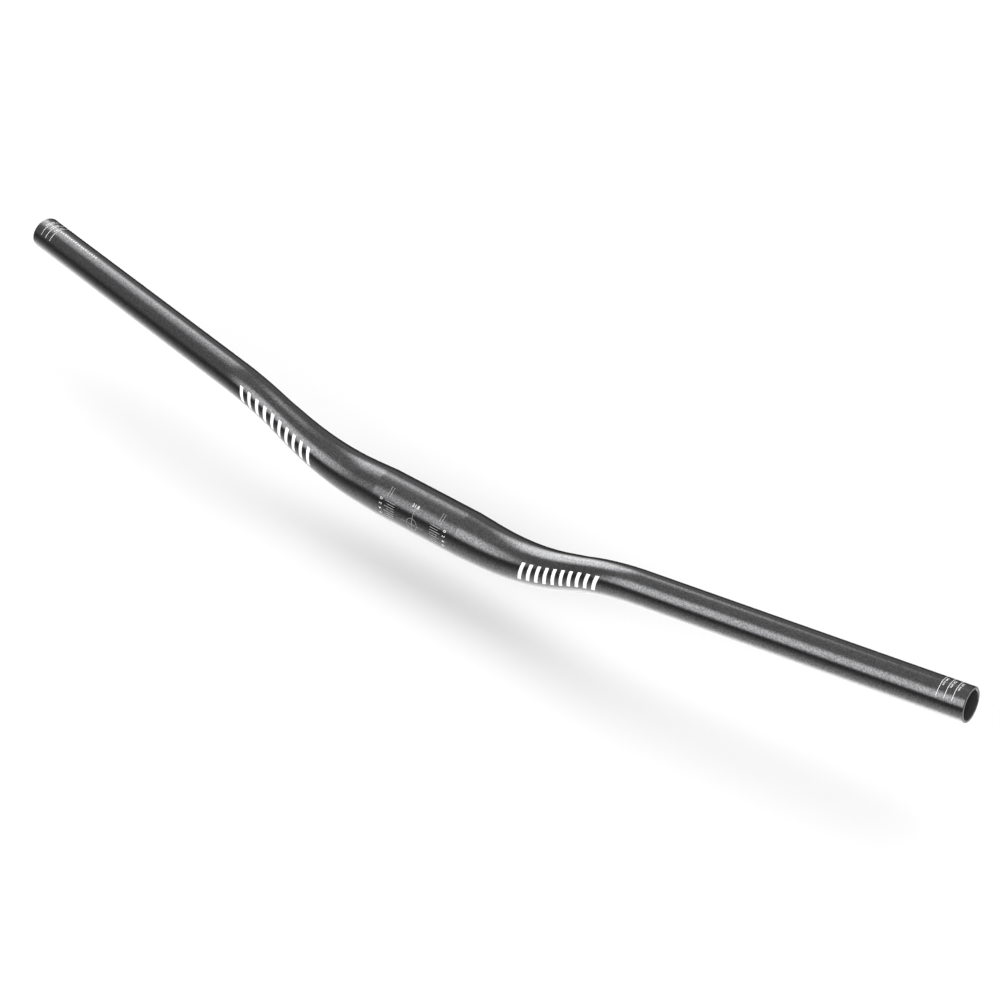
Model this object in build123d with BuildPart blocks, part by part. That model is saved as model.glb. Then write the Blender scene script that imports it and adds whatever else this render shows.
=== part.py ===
from build123d import *
from math import radians, tan
import os

# A mountain-bike riser handlebar: one butted and tapered aluminium tube, bent twice on each side.
# The origin is the centre of the stem clamp area. +X runs along the bar to the rider's left,
# +Y is towards the rider and +Z is up. Sizes are in millimetres and degrees.

# Driving dimensions
bar_width = 780.0            # between the centres of the two end faces
clamp_diameter = 31.8
clamp_length = 70.0          # full-diameter middle that the stem holds
clamp_wall = 2.6
grip_diameter = 22.2
grip_wall = 2.0
centre_straight = 104.0      # straight middle, between the starts of the two rise bends
rise_slope = 21.0            # of the run between the two bends, above the horizontal
rise_bend_radius = 180.0
rise_run_length = 16.0       # straight between the two bends
sweep_bend_radius = 125.0
backsweep = 7.75             # of the grips, towards the rider
upsweep = 2.5                # of the grips, above the horizontal
outer_end_chamfer = 0.4
inner_end_chamfer = 0.4

# Directions of the straight runs of the left arm, on the +X side
centre_direction = Vector(1, 0, 0)
rise_direction = centre_direction.rotate(Axis.Y, -rise_slope)
grip_direction = centre_direction.rotate(Axis.Y, -upsweep).rotate(Axis.Z, backsweep)

# Corners where those runs would meet, and how far before and after it each bend reaches
rise_turn = centre_direction.get_angle(rise_direction)
sweep_turn = rise_direction.get_angle(grip_direction)
rise_setback = rise_bend_radius * tan(radians(rise_turn / 2))
sweep_setback = sweep_bend_radius * tan(radians(sweep_turn / 2))
rise_corner = centre_direction * (centre_straight / 2 + rise_setback)
sweep_corner = rise_corner + rise_direction * (rise_setback + rise_run_length + sweep_setback)
grip_reach = (bar_width / 2 - sweep_corner.X) / grip_direction.X
bar_end = sweep_corner + grip_direction * grip_reach

# Centreline of the left arm, from the edge of the clamp area to the end of the bar
with BuildLine() as arm_line:
    shoulder = Line(centre_direction * clamp_length / 2, centre_direction * centre_straight / 2)
    rise_end = rise_corner + rise_direction * rise_setback
    rise_bend = TangentArc(shoulder @ 1, rise_end, tangent=centre_direction)
    rise_run = Line(rise_end, rise_end + rise_direction * rise_run_length)
    sweep_end = sweep_corner + grip_direction * sweep_setback
    sweep_bend = TangentArc(rise_run @ 1, sweep_end, tangent=rise_direction)
    grip_run = Line(sweep_end, bar_end)

# The tube tapers evenly from the clamp area to the start of the sweep bend
taper_runs = (shoulder, rise_bend, rise_run)
taper_length = sum(run.length for run in taper_runs)


def round_section(plane, radius):
    with BuildSketch(plane) as section:
        Circle(radius)
    return section.sketch


def swept_run(run, start_radius, end_radius, mode):
    """One stretch of round bar along run, added to the tube or cut from it."""
    start_plane = Plane(run @ 0, x_dir=(0, 1, 0), z_dir=run % 0)
    end_plane = Plane(run @ 1, x_dir=(0, 1, 0), z_dir=run % 1)
    sections = [round_section(start_plane, start_radius)]
    tapered = start_radius != end_radius
    if tapered:
        sections.append(round_section(end_plane, end_radius))
    sweep(sections=sections, path=run, multisection=tapered, mode=mode)


def left_arm(clamp_radius, grip_radius, mode):
    """A round bar along the left arm's centreline, as the tube's outside or its bore."""
    radius = clamp_radius
    for run in taper_runs:
        next_radius = radius + (grip_radius - clamp_radius) * run.length / taper_length
        swept_run(run, radius, next_radius, mode)
        radius = next_radius
    for run in (sweep_bend, grip_run):
        swept_run(run, grip_radius, grip_radius, mode)


clamp_radius = clamp_diameter / 2
clamp_bore_radius = clamp_radius - clamp_wall
grip_radius = grip_diameter / 2
grip_bore_radius = grip_radius - grip_wall

with BuildPart() as handlebar:
    left_arm(clamp_radius, grip_radius, Mode.ADD)
    left_arm(clamp_bore_radius, grip_bore_radius, Mode.SUBTRACT)

    # Both edges of the end face are broken with a small chamfer
    end_face = handlebar.faces().sort_by(Axis(bar_end, grip_direction))[-1]
    outer_edge, inner_edge = end_face.edges().sort_by(SortBy.RADIUS, reverse=True)
    chamfer(outer_edge, length=outer_end_chamfer)
    chamfer(inner_edge, length=inner_end_chamfer)

    mirror(about=Plane.YZ)

    # The straight clamp area joins the two arms
    with BuildSketch(Plane.YZ):
        Circle(clamp_radius)
        Circle(clamp_bore_radius, mode=Mode.SUBTRACT)
    extrude(amount=clamp_length / 2, both=True)

handlebar.part.label = "handlebar"

os.makedirs("parts", exist_ok=True)
export_step(handlebar.part, "parts/handlebar.step")

# The sizes that a mating part needs, and those that a drawing would quote
print("left grip straight: length", round(grip_run.length, 3), "mm, from", grip_run @ 0, "to", grip_run @ 1)
print("grip direction", grip_direction)
print("rise turn", round(rise_turn, 3), "sweep turn", round(sweep_turn, 3), "degrees")
print("volume", round(handlebar.part.volume / 1000, 3), "cm3")
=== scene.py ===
"""The looks of the riser handlebar: the tube, its finish and print, the floor, the light and the camera."""
import math

import bmesh
import bpy
import numpy as np
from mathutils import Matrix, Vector


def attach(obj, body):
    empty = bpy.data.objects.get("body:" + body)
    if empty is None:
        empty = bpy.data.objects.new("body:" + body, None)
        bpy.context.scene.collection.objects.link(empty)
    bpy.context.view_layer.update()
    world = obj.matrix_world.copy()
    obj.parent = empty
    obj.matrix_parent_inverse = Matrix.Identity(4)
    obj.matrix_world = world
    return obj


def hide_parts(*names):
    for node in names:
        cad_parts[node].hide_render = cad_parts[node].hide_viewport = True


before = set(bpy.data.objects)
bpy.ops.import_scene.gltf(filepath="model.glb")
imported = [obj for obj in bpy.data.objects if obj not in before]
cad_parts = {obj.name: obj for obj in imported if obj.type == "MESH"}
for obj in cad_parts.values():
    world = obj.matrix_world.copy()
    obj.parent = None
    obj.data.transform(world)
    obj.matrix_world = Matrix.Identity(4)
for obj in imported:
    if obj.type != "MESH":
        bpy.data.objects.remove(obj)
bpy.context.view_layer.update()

MM = 0.001

# The tube, with the sizes of the CAD part. Lengths are in millimetres and angles in degrees.
BAR_WIDTH = 780.0
CLAMP_RADIUS = 15.9
CLAMP_LENGTH = 70.0
CLAMP_WALL = 2.6
GRIP_RADIUS = 11.1
GRIP_WALL = 2.0
CENTRE_STRAIGHT = 104.0
RISE_SLOPE = 21.0
RISE_BEND_RADIUS = 180.0
RISE_RUN_LENGTH = 16.0
SWEEP_BEND_RADIUS = 125.0
BACKSWEEP = 7.75
UPSWEEP = 2.5
END_CHAMFER = 0.4

# How finely the tube is meshed: its sides, and its rings from the middle to the end of an arm
SIDES = 160
CLAMP_RINGS = (0.0, 8.0, 16.0, 24.0)
EDGE_RINGS = (-0.8, -0.2, 0.2, 0.8)     # from the place where the taper begins, to keep that edge crisp
TAPER_RING = 46.0
RUN_RINGS = (30, 3, 30, 12)             # how many on the rise bend, the rise, the sweep bend and the grip
SHARP_ANGLE = 25.0

# Print: how proud of the tube it is, its thickness, and how its shapes are joined and cut up
PRINT_LIFT = 0.03
PRINT_THICKNESS = 0.05
PRINT_WELD = 1e-4
PRINT_STEP = 0.8                        # the longest edge that may lie across the round of the tube
MOST_HALVINGS = 8
CAP_HEIGHT = 0.7                        # of the plain font, for a size of 1

# The floor: its height, and its radius in metres
FLOOR_Z = -43.6
FLOOR_RADIUS = 14.0
FLOOR_SIDES = 96

# The camera of the photo: its place in metres, its direction as seen from the bar, and its lens
CAMERA_PLACE = (1.1326, -1.2151, 1.2184)
CAMERA_AZIMUTH = 41.414
CAMERA_ELEVATION = 36.0325
LENS = 116.91
SENSOR = 36.0


# The centreline

def unit(v):
    return v / np.linalg.norm(v)


def arm():
    """The +X half of the centreline, as runs of (start, direction, side or None, radius, length)."""
    slope, up, back = (math.radians(a) for a in (RISE_SLOPE, UPSWEEP, BACKSWEEP))
    level = np.array([1.0, 0.0, 0.0])
    rise = np.array([math.cos(slope), 0.0, math.sin(slope)])
    grip = np.array([math.cos(up) * math.cos(back), math.cos(up) * math.sin(back), math.sin(up)])
    runs = []
    point = np.zeros(3)

    def straight(direction, length):
        nonlocal point
        runs.append((point, direction, None, 0.0, length))
        point = point + direction * length

    def bend(direction, onto, radius):
        nonlocal point
        turn = math.acos(float(direction @ onto))
        side = unit(onto - (direction @ onto) * direction)
        runs.append((point, direction, side, radius, radius * turn))
        point = point + radius * (math.sin(turn) * direction + (1 - math.cos(turn)) * side)

    straight(level, CENTRE_STRAIGHT / 2)
    bend(level, rise, RISE_BEND_RADIUS)
    straight(rise, RISE_RUN_LENGTH)
    bend(rise, grip, SWEEP_BEND_RADIUS)
    straight(grip, (BAR_WIDTH / 2 - point[0]) / grip[0])
    return runs


ARM = arm()
ARM_STARTS = np.cumsum([0.0] + [run[4] for run in ARM])
HALF_LENGTH = ARM_STARTS[-1]
TAPER_START = CLAMP_LENGTH / 2
TAPER_END = ARM_STARTS[3]
GRIP_START = ARM_STARTS[4]


def centre(s):
    """The point and the direction of the centreline at station s, along it from the middle of the bar."""
    along = min(abs(s), HALF_LENGTH)
    k = min(int(np.searchsorted(ARM_STARTS, along, side="right")) - 1, len(ARM) - 1)
    start, direction, side, radius, _ = ARM[k]
    u = along - ARM_STARTS[k]
    if side is None:
        point, tangent = start + direction * u, direction
    else:
        turn = u / radius
        point = start + radius * (math.sin(turn) * direction + (1 - math.cos(turn)) * side)
        tangent = math.cos(turn) * direction + math.sin(turn) * side
    if s < 0:
        point = point * np.array([-1, 1, 1])
        tangent = tangent * np.array([1, -1, -1])
    return point, tangent


def taper(s, clamp_value, grip_value):
    share = (abs(s) - TAPER_START) / (TAPER_END - TAPER_START)
    return clamp_value + (grip_value - clamp_value) * min(max(share, 0.0), 1.0)


def outer_radius(s):
    return taper(s, CLAMP_RADIUS, GRIP_RADIUS)


def bore_radius(s):
    return taper(s, CLAMP_RADIUS - CLAMP_WALL, GRIP_RADIUS - GRIP_WALL)


def section(s):
    """The centre of the section at station s, and its directions to the front (angle 0) and up (90)."""
    point, tangent = centre(s)
    up = unit(np.array([0.0, 0.0, 1.0]) - tangent[2] * tangent)
    front = np.cross(tangent, up)
    return point, front, up


def around(place, angle, radius):
    """The point at that angle (in radians) and distance from the centre of a section, in metres."""
    point, front, up = place
    return (point + radius * (math.cos(angle) * front + math.sin(angle) * up)) * MM


# The tube

def stations():
    """The stations of the tube's rings from one arm to the other, without the ends and their chamfers."""
    half = [*CLAMP_RINGS, *(TAPER_START + offset for offset in EDGE_RINGS), TAPER_RING, ARM_STARTS[1]]
    for k, count in enumerate(RUN_RINGS, start=1):
        half += list(np.linspace(ARM_STARTS[k], ARM_STARTS[k + 1], count + 1)[1:])
    half.pop()
    return [-s for s in reversed(half[1:])] + half


def tube_mesh():
    """The whole wall: out along the outside, over the +X end, back through the bore and over the -X end."""
    end, edge = HALF_LENGTH, HALF_LENGTH - END_CHAMFER
    outside = [(s, outer_radius(s)) for s in [-edge] + stations() + [edge]]
    inside = [(s, bore_radius(s)) for s in [edge] + stations()[::-1] + [-edge]]
    plus_end = [(end, GRIP_RADIUS - END_CHAMFER), (end, GRIP_RADIUS - GRIP_WALL + END_CHAMFER)]
    minus_end = [(-s, r) for s, r in reversed(plus_end)]
    profile = outside + plus_end + inside + minus_end
    points = []
    for s, radius in profile:
        place = section(s)
        points += [around(place, 2 * math.pi * k / SIDES, radius) for k in range(SIDES)]
    faces = []
    for i in range(len(profile)):
        a, b = i * SIDES, (i + 1) % len(profile) * SIDES
        for k in range(SIDES):
            m = (k + 1) % SIDES
            faces.append((a + k, b + k, b + m, a + m))
    mesh = bpy.data.meshes.new("handlebar_tube")
    mesh.from_pydata([tuple(p) for p in points], [], faces)
    first_inside = (len(outside) + len(plus_end)) * SIDES
    for face in mesh.polygons[first_inside:first_inside + (len(inside) - 1) * SIDES]:
        face.material_index = 1         # the bore's finish
    shape = bmesh.new()
    shape.from_mesh(mesh)
    bmesh.ops.recalc_face_normals(shape, faces=shape.faces)
    shape.to_mesh(mesh)
    shape.free()
    mesh.shade_smooth()
    mesh.set_sharp_from_angle(angle=math.radians(SHARP_ANGLE))
    return mesh


def add(name, mesh, *finishes):
    """A piece of the scene, with its materials."""
    piece = bpy.data.objects.new(name, mesh)
    bpy.context.scene.collection.objects.link(piece)
    for finish in finishes:
        mesh.materials.append(finish)
    return piece


# Materials

class Nodes:
    """A node tree being built: new adds a node, feed sets an input, and the rest give a new node's output."""

    def __init__(self, tree):
        self.tree = tree

    def new(self, kind, **settings):
        node = self.tree.nodes.new(kind)
        for name, value in settings.items():
            setattr(node, name, value)
        return node

    def feed(self, node, name, value):
        socket = node.inputs[name]
        if isinstance(value, bpy.types.NodeSocket):
            self.tree.links.new(value, socket)
        else:
            socket.default_value = value

    def math(self, operation, *values):
        node = self.new("ShaderNodeMath", operation=operation)
        for k, value in enumerate(values):
            self.feed(node, k, value)
        return node.outputs[0]

    def remap(self, value, low, high, to_low=0.0, to_high=1.0, kind="SMOOTHSTEP"):
        node = self.new("ShaderNodeMapRange", interpolation_type=kind)
        for k, v in enumerate((value, low, high, to_low, to_high)):
            self.feed(node, k, v)
        return node.outputs[0]

    def noise(self, vector, scale, detail):
        node = self.new("ShaderNodeTexNoise", noise_dimensions="3D")
        for name, value in (("Vector", vector), ("Scale", scale), ("Detail", detail), ("Roughness", 0.5)):
            self.feed(node, name, value)
        return node.outputs["Fac"]

    def mix(self, kind, share, first, second):
        """A mix of two numbers or two colours. The node has sockets of its own for each kind."""
        a, b, result = {"FLOAT": (2, 3, 0), "RGBA": (6, 7, 2)}[kind]
        node = self.new("ShaderNodeMix", data_type=kind)
        for socket, value in ((0, share), (a, first), (b, second)):
            self.feed(node, socket, value)
        return node.outputs[result]


def material(name):
    made = bpy.data.materials.new(name)
    made.use_nodes = True
    nodes = Nodes(made.node_tree)
    shader = made.node_tree.nodes["Principled BSDF"]
    place = nodes.new("ShaderNodeTexCoord").outputs["Object"]
    return made, nodes, shader, place


def anodised():
    """Fine blasted black anodising: a dark metal with a grain of tiny dimples."""
    made, nodes, shader, place = material("anodised_black")
    dark, light = (0.060, 0.060, 0.062, 1.0), (0.114, 0.114, 0.116, 1.0)
    speckle = nodes.noise(place, scale=1100.0, detail=2.0)
    grain = nodes.noise(place, scale=1000.0, detail=1.0)
    nodes.feed(shader, "Base Color", nodes.mix("RGBA", nodes.remap(speckle, 0.32, 0.68), dark, light))
    nodes.feed(shader, "Metallic", 1.0)
    nodes.feed(shader, "Roughness", nodes.remap(grain, 0.3, 0.7, 0.13, 0.16, "LINEAR"))
    bump = nodes.new("ShaderNodeBump")
    nodes.feed(bump, "Strength", 1.0)
    nodes.feed(bump, "Distance", 0.00002)
    nodes.feed(bump, "Height", grain)
    nodes.feed(shader, "Normal", bump.outputs[0])
    return made


def bore():
    """The unpolished inside of the tube, dull where the anodising is thin."""
    made, nodes, shader, place = material("anodised_bore")
    dark, light = (0.026, 0.026, 0.027, 1.0), (0.038, 0.038, 0.039, 1.0)
    drawn = nodes.noise(place, scale=400.0, detail=3.0)
    nodes.feed(shader, "Base Color", nodes.mix("RGBA", drawn, dark, light))
    nodes.feed(shader, "Roughness", 0.8)
    return made


def ink(name, bright, dull):
    """Printed or etched white, slightly uneven where the grain of the tube comes through."""
    made, nodes, shader, place = material(name)
    patches = nodes.remap(nodes.noise(place, scale=2200.0, detail=3.0), 0.35, 0.6)
    nodes.feed(shader, "Base Color", nodes.mix("RGBA", patches, (dull,) * 3 + (1.0,), (bright,) * 3 + (1.0,)))
    nodes.feed(shader, "Roughness", nodes.remap(patches, 0.0, 1.0, 0.6, 0.42, "LINEAR"))
    return made


def paper():
    """The matt floor, which has no gloss of its own."""
    made, nodes, shader, _ = material("pale_floor")
    nodes.feed(shader, "Base Color", (0.642, 0.642, 0.642, 1.0))
    nodes.feed(shader, "Roughness", 1.0)
    nodes.feed(shader, "Specular IOR Level", 0.0)
    return made


white_ink = ink("white_print", 0.86, 0.62)
etched = ink("etched_mark", 0.42, 0.25)

tube = add("handlebar_tube", tube_mesh(), anodised(), bore())
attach(tube, "root")
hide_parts("handlebar")


# Print on the tube

def long_edges(shape):
    """The edges that are too long to follow the round of the tube, or the bend that they lie on."""
    found = []
    for e in shape.edges:
        (s0, a0, _), (s1, a1, _) = e.verts[0].co, e.verts[1].co
        round_mm = math.radians(a1 - a0) * outer_radius((s0 + s1) / 2)
        bent = abs(s1 - s0) if TAPER_START < abs(s0) < GRIP_START else 0.0
        if max(abs(round_mm), bent) > PRINT_STEP:
            found.append(e)
    return found


def wrap(name, shapes, finish):
    """One printed piece: flat shapes, wrapped on the tube as a thin layer.

    A shape is a convex face, a list of (station in mm, angle in degrees)."""
    shape = bmesh.new()
    for face in shapes:
        shape.faces.new([shape.verts.new((s, angle, 0.0)) for s, angle in face])
    bmesh.ops.remove_doubles(shape, verts=shape.verts, dist=PRINT_WELD)
    # What runs anticlockwise here faces outwards on the tube
    shape.normal_update()
    bmesh.ops.reverse_faces(shape, faces=[face for face in shape.faces if face.normal.z < 0])
    bmesh.ops.triangulate(shape, faces=shape.faces)
    for _ in range(MOST_HALVINGS):
        edges = long_edges(shape)
        if not edges:
            break
        bmesh.ops.subdivide_edges(shape, edges=edges, cuts=1)
        bmesh.ops.triangulate(shape, faces=shape.faces)
    for v in shape.verts:
        s, angle, _ = v.co
        v.co = Vector(around(section(s), math.radians(angle), outer_radius(s) + PRINT_LIFT))
    mesh = bpy.data.meshes.new(name)
    shape.to_mesh(mesh)
    shape.free()
    mesh.shade_smooth()
    piece = add(name, mesh, finish)
    layer = piece.modifiers.new("layer", "SOLIDIFY")
    layer.thickness = PRINT_THICKNESS * MM
    layer.offset = -1.0
    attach(piece, "root")


def degrees_of(length, s):
    """The angle that a length round the tube takes at station s."""
    return math.degrees(length / outer_radius(s))


def arc_line(s, low, high, width):
    """A line round the tube at station s."""
    h = width / 2
    return [[(s - h, low), (s + h, low), (s + h, high), (s - h, high)]]


def axial_line(angle, low, high, width):
    """A line along the tube at that angle, between two stations."""
    h = degrees_of(width, low) / 2
    return [[(low, angle - h), (high, angle - h), (high, angle + h), (low, angle + h)]]


def circle_line(s, angle, radius, width, count=48):
    """A circle round that place on the tube."""
    inner, outer = radius - width / 2, radius + width / 2
    turns = [2 * math.pi * k / count for k in range(count + 1)]

    def place(r, turn):
        return s + r * math.cos(turn), angle + degrees_of(r * math.sin(turn), s)

    return [[place(inner, a), place(outer, a), place(outer, b), place(inner, b)]
            for a, b in zip(turns, turns[1:])]


def text_faces(body, height):
    """The triangles of a line of plain text, with its middle at the origin, in millimetres."""
    curve = bpy.data.curves.new("text_" + body, "FONT")
    curve.body = body
    curve.size = height / CAP_HEIGHT
    curve.align_x, curve.align_y = "CENTER", "CENTER"
    curve.resolution_u = 4
    holder = bpy.data.objects.new("text_" + body, curve)
    bpy.context.scene.collection.objects.link(holder)
    bpy.context.view_layer.update()
    mesh = bpy.data.meshes.new_from_object(holder.evaluated_get(bpy.context.evaluated_depsgraph_get()))
    faces = [[tuple(mesh.vertices[v].co[:2]) for v in p.vertices] for p in mesh.polygons]
    bpy.data.objects.remove(holder)
    bpy.data.meshes.remove(mesh)
    bpy.data.curves.remove(curve)
    return faces


def text_along(body, s, angle, height):
    """Text that reads along the bar, seen from the front."""
    return [[(s + x, angle + degrees_of(y, s)) for x, y in face] for face in text_faces(body, height)]


def text_round(body, s, angle, height, side):
    """Text that reads round the tube. side is +1 at the +X end and -1 at the other."""
    return [[(s + side * y, angle - degrees_of(x, s) * side) for x, y in face]
            for face in text_faces(body, height)]


# Cut guides at both ends: rings at the places to shorten the bar, with the width that is left
CUT_DEPTHS = (8.0, 13.0, 18.0)
CUT_RING_ANGLES = (33, 147)
CUT_RING_WIDTH = 0.28
CUT_LABEL_ANGLE = 88
CUT_LABEL_HEIGHT = 1.5
CUT_LABEL_OFFSET = 1.6                  # outboard of its ring
for side, tag in ((1, "left"), (-1, "right")):
    rings, labels = [], []
    for depth in CUT_DEPTHS:
        s = side * (HALF_LENGTH - depth)
        rings += arc_line(s, *CUT_RING_ANGLES, CUT_RING_WIDTH)
        labels += text_round("%d mm" % (BAR_WIDTH - 2 * depth), s + side * CUT_LABEL_OFFSET,
                             CUT_LABEL_ANGLE, CUT_LABEL_HEIGHT, side)
    wrap("cut_rings_" + tag, rings, white_ink)
    wrap("cut_labels_" + tag, labels, white_ink)

# A fine rule inboard of the cut guides, at the -X end, with every fifth tick longer
RULE_START = -334.5
RULE_PITCH = 2.4
RULE_TICKS = 18
TICK_FOOT, TICK_TOP, LONG_TICK_TOP = 84.5, 90.5, 92.5
TICK_WIDTH = 0.9
ticks = []
for k in range(RULE_TICKS):
    top = LONG_TICK_TOP if k % 5 == 0 else TICK_TOP
    ticks += arc_line(RULE_START - RULE_PITCH * k, TICK_FOOT, top, TICK_WIDTH)
wrap("end_rule", ticks, white_ink)

# The scale on the clamp area: lines that show how far the bar is turned in the stem, each second one longer
# and with its number, and above them a pair of lines round the tube. Stations are from the middle.
SCALE_LINES = 7
SCALE_TOP = 26.2
SCALE_STEP = 6.3
SCALE_START, SCALE_END, LONG_SCALE_END = 15.2, 21.8, 23.8
SCALE_WIDTH = 0.3
NUMBER_PLACE = 26.9
NUMBER_HEIGHT = 2.2
PAIR_PLACES = (20.8, 22.8)
PAIR_ANGLES = (36, 62)
PAIR_WIDTH = 0.22
lines, labels = [], []
for side in (1, -1):
    for k in range(SCALE_LINES):
        angle = SCALE_TOP - SCALE_STEP * k
        numbered = k % 2 == 0
        ends = sorted((side * SCALE_START, side * (LONG_SCALE_END if numbered else SCALE_END)))
        lines += axial_line(angle, *ends, SCALE_WIDTH)
        if numbered:
            labels += text_round(str(k), side * NUMBER_PLACE, angle, NUMBER_HEIGHT, side)
    for s in PAIR_PLACES:
        lines += arc_line(side * s, *PAIR_ANGLES, PAIR_WIDTH)

# The mark in the middle: a cross in a circle, and the clamp diameter above it
MARK_PLACE = 0.3
MARK_ANGLE = 1.0
MARK_RADIUS = 4.2
MARK_WIDTH = 0.2
UPRIGHT_ANGLES = (-30, 40)
LEVEL_ENDS = (-9.0, 10.0)
DIAMETER_ANGLE = 46
DIAMETER_HEIGHT = 2.4
labels += text_along("%.1f" % (2 * CLAMP_RADIUS), 0.0, DIAMETER_ANGLE, DIAMETER_HEIGHT)
lines += arc_line(MARK_PLACE, *UPRIGHT_ANGLES, MARK_WIDTH)
lines += axial_line(MARK_ANGLE, *LEVEL_ENDS, MARK_WIDTH)
lines += circle_line(MARK_PLACE, MARK_ANGLE, MARK_RADIUS, MARK_WIDTH)
wrap("clamp_scale", lines, etched)
wrap("clamp_labels", labels, white_ink)

# A row of plain slanted bars on each side, the rows a little different in their start and pitch
STRIPES = 10
STRIPE_WIDTH = 2.8
STRIPE_SLANT = 4.5
STRIPE_LOW, STRIPE_HIGH = -17.0, 36.0
for side, tag, start, pitch in ((1, "left", 86.0, 6.6), (-1, "right", 91.0, 7.1)):
    shapes = []
    for k in range(STRIPES):
        low = start + pitch * k
        high = low + STRIPE_SLANT
        shapes.append([(side * low, STRIPE_LOW), (side * (low + STRIPE_WIDTH), STRIPE_LOW),
                       (side * (high + STRIPE_WIDTH), STRIPE_HIGH), (side * high, STRIPE_HIGH)])
    wrap("stripes_" + tag, shapes, white_ink)


# Stage: floor, light and camera

shape = bmesh.new()
bmesh.ops.create_circle(shape, cap_ends=True, segments=FLOOR_SIDES, radius=FLOOR_RADIUS)
bmesh.ops.translate(shape, verts=shape.verts, vec=(0, 0, FLOOR_Z * MM))
floor_mesh = bpy.data.meshes.new("floor")
shape.to_mesh(floor_mesh)
shape.free()
floor = add("floor", floor_mesh, paper())
floor.visible_glossy = False

# The studio, as the tube sees it. Directions are azimuths from -Y towards +X and elevations, in degrees.
# Plain light by elevation: even above, darkest just below the horizon, brightest straight below
SKY = ((-90, 12.0), (-72, 4.0), (-64, 2.6), (-50, 1.78), (-37, 1.30), (-24, 0.69), (-9, 0.26), (1, 0.25),
       (16, 0.62), (40, 0.73), (52, 0.96), (90, 0.78))


def towards(azimuth, elevation):
    a, e = math.radians(azimuth), math.radians(elevation)
    return Vector((math.sin(a) * math.cos(e), -math.cos(a) * math.cos(e), math.sin(e)))


class World(Nodes):
    """The world's node tree, with the light that comes from each direction added up."""

    def __init__(self, tree):
        super().__init__(tree)
        self.direction = self.new("ShaderNodeTexCoord").outputs["Generated"]
        self.total = 0.0

    def dot(self, vector):
        node = self.new("ShaderNodeVectorMath", operation="DOT_PRODUCT")
        self.feed(node, 0, self.direction)
        self.feed(node, 1, vector)
        return node.outputs["Value"]

    def add(self, value):
        self.total = self.math("ADD", self.total, value)

    def sky(self, levels):
        """Light by elevation, in straight pieces between those levels."""
        height = self.math("DEGREES", self.math("ARCSINE", self.dot(Vector((0, 0, 1)))))
        self.add(levels[0][1])
        for (low, first), (high, second) in zip(levels, levels[1:]):
            self.add(self.remap(height, low, high, 0.0, second - first, "LINEAR"))

    def away(self, middle):
        """The angle from that direction, in degrees."""
        return self.math("DEGREES", self.math("ARCCOSINE", self.dot(middle)))

    def dim(self, middle, radius, share):
        """Take that share off what is there, less and less up to that many degrees from the middle."""
        kept = self.remap(self.away(middle), 0.0, radius, 1.0 - share, 1.0)
        self.total = self.math("MULTIPLY", self.total, kept)

    def spot(self, middle, radius, strength):
        """A round soft light that fades to nothing at that many degrees from its middle."""
        self.add(self.remap(self.away(middle), 0.0, radius, strength, 0.0))

    def softbox(self, azimuth, elevation, across, upright, strengths):
        """A rectangular soft light round that direction.

        across and upright are (low edge, high edge, softness of the low one, softness of the high one), as
        distances at one unit from the tube. strengths are those at the lower and the upper edge."""
        middle = towards(azimuth, elevation)
        right = towards(azimuth + 90, 0)
        forward = self.math("MAXIMUM", self.dot(middle), 0.05)
        u = self.math("DIVIDE", self.dot(right), forward)
        v = self.math("DIVIDE", self.dot(middle.cross(right)), forward)
        value = self.remap(v, upright[0], upright[1], *strengths, "LINEAR")
        for place, (low, high, soft_low, soft_high) in ((u, across), (v, upright)):
            past_low = self.remap(place, low - soft_low, low + soft_low)
            value = self.math("MULTIPLY", value, past_low)
            below_high = self.remap(place, high - soft_high, high + soft_high, 1.0, 0.0)
            value = self.math("MULTIPLY", value, below_high)
        self.add(value)


def build_world():
    studio = bpy.data.worlds.new("studio")
    bpy.context.scene.world = studio
    studio.use_nodes = True
    world = World(studio.node_tree)
    world.sky(SKY)
    world.dim(towards(-142, -20), radius=34.0, share=0.93)
    world.spot(towards(158, 67), radius=32.0, strength=2.5)
    world.spot(towards(-95, -20), radius=30.0, strength=3.7)
    world.softbox(-7, 19, across=(-0.58, 0.90, 0.24, 0.14), upright=(-0.16, 0.53, 0.14, 0.35),
                  strengths=(2.8, 5.2))
    world.softbox(-106, 25, across=(-0.43, 0.23, 0.19, 0.19), upright=(-0.59, 0.42, 0.14, 0.19),
                  strengths=(6.4, 5.5))

    # Less light from low beyond the -X end, which only views along the bar see mirrored in it
    world.dim(towards(-108, -12), radius=36.0, share=0.95)
    world.dim(towards(-98, 4), radius=28.0, share=0.9)

    # Where the camera sees past the floor, the backdrop is plain white
    camera_ray = world.new("ShaderNodeLightPath").outputs["Is Camera Ray"]
    background = studio.node_tree.nodes["Background"]
    world.feed(background, "Color", (1.0, 1.0, 1.0, 1.0))
    world.feed(background, "Strength", world.mix("FLOAT", camera_ray, world.total, 1.0))


build_world()

camera_data = bpy.data.cameras.new("camera")
camera_data.lens = LENS
camera_data.sensor_width = SENSOR
camera = bpy.data.objects.new("camera", camera_data)
bpy.context.scene.collection.objects.link(camera)
camera.location = CAMERA_PLACE
camera.rotation_mode = "QUATERNION"
camera.rotation_quaternion = (-towards(CAMERA_AZIMUTH, CAMERA_ELEVATION)).to_track_quat("-Z", "Y")
bpy.context.scene.camera = camera
bpy.context.scene.view_settings.view_transform = "Standard"
